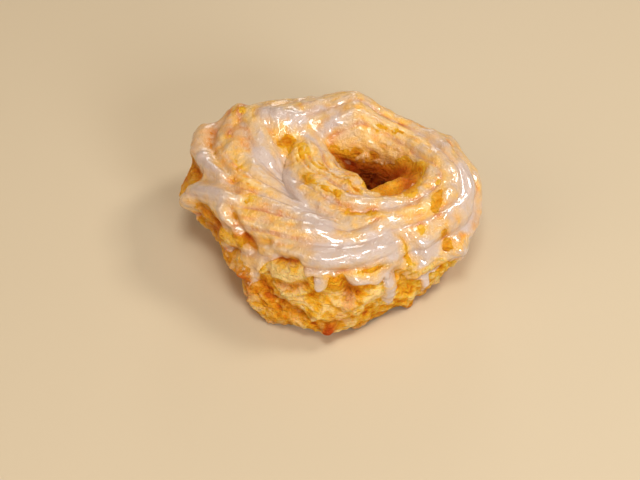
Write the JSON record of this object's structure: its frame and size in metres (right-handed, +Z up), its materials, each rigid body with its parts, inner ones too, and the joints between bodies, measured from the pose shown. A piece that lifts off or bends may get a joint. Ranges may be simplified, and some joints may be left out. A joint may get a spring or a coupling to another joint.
{
  "type": "french cruller",
  "caption": "Fried choux pastry ring piped as a short spiral rope, with ridges winding round it, a small off-centre hole, rough crust at the foot and a thin sugar glaze.",
  "frame": {"origin": "middle of the base, on the surface the cruller lies on", "axes": "+Z up, +X to the right and +Y away from the viewer as the picture shows it; the wide left side with the lobes is at -X and the hole lies towards +X"},
  "size_m": [0.1042, 0.0944, 0.0406],
  "materials": {
    "crust": "fried choux crust, golden brown, slightly oily",
    "glaze": "thin set sugar glaze, glossy, milky where thick"
  },
  "bodies": {
    "root": {"cruller": "crust"}
  },
  "joints": []
}
